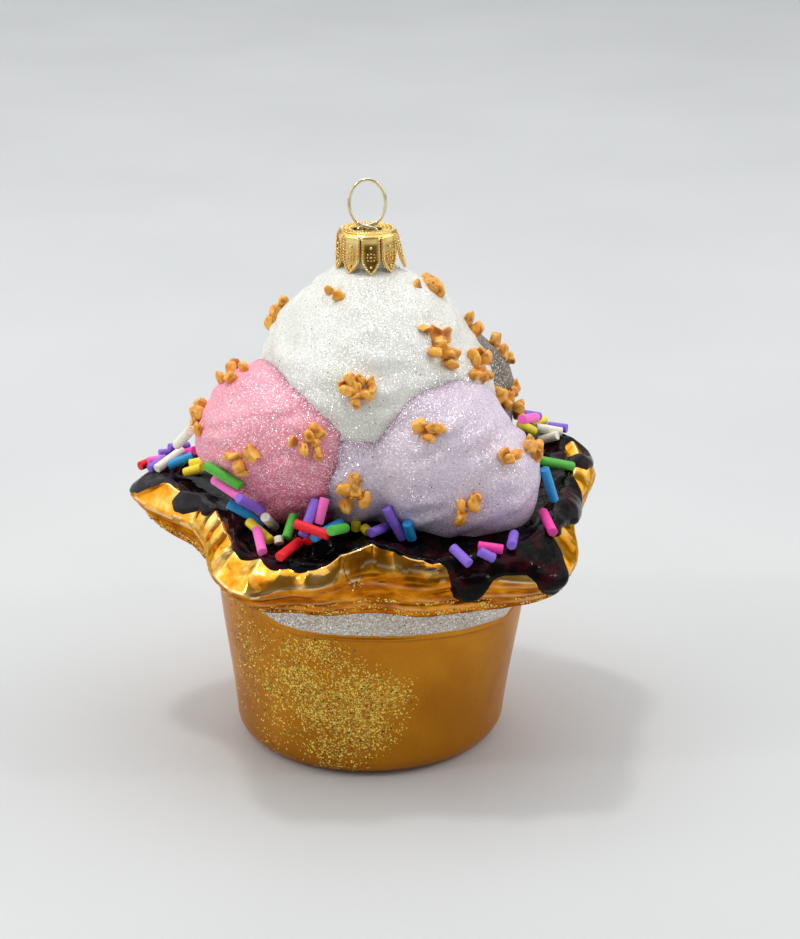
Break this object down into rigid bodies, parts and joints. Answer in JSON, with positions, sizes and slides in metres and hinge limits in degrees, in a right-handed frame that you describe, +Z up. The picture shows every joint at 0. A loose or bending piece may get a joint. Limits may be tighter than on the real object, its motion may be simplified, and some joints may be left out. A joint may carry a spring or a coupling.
{
  "type": "glass hanging ornament of a waffle sundae",
  "caption": "Hanging glass ornament shaped as a waffle sundae: painted cup, mirrored waffle bowl, glittered scoops, fudge sauce with sprinkles, gold crown cap and wire ring.",
  "frame": {"origin": "middle of the flat base that the cup stands on", "axes": "+Z up along the cup to the hanging ring, -Y to the front, +X to the right seen from the front"},
  "size_m": [0.1064, 0.099, 0.1276],
  "materials": {
    "cup_lacquer": "satin amber lacquer on blown glass, with a band of silver glitter and a patch of gold glitter",
    "waffle_lacquer": "mirrored amber gold lacquer inside glossy blown glass, with dashes of gold glitter",
    "vanilla_glitter": "satin off-white paint under fine silver glitter",
    "strawberry_glitter": "satin pink paint under fine glitter",
    "blueberry_glitter": "satin lilac paint under fine glitter",
    "chocolate_glitter": "satin grey-brown paint under fine glitter",
    "fudge_lacquer": "thick glossy near-black brown lacquer with matt clay sprinkles set in it",
    "cap_brass": "pressed thin sheet, gold coloured, with beaded edges",
    "ring_brass": "bright drawn wire"
  },
  "bodies": {
    "root": {"cup": "cup_lacquer", "waffle_bowl": "waffle_lacquer", "vanilla_scoop": "vanilla_glitter", "strawberry_scoop": "strawberry_glitter", "blueberry_scoop": "blueberry_glitter", "chocolate_scoop": "chocolate_glitter", "fudge_sauce": "fudge_lacquer", "hanger_cap": "cap_brass", "hanger_ring": "ring_brass"}
  },
  "joints": []
}
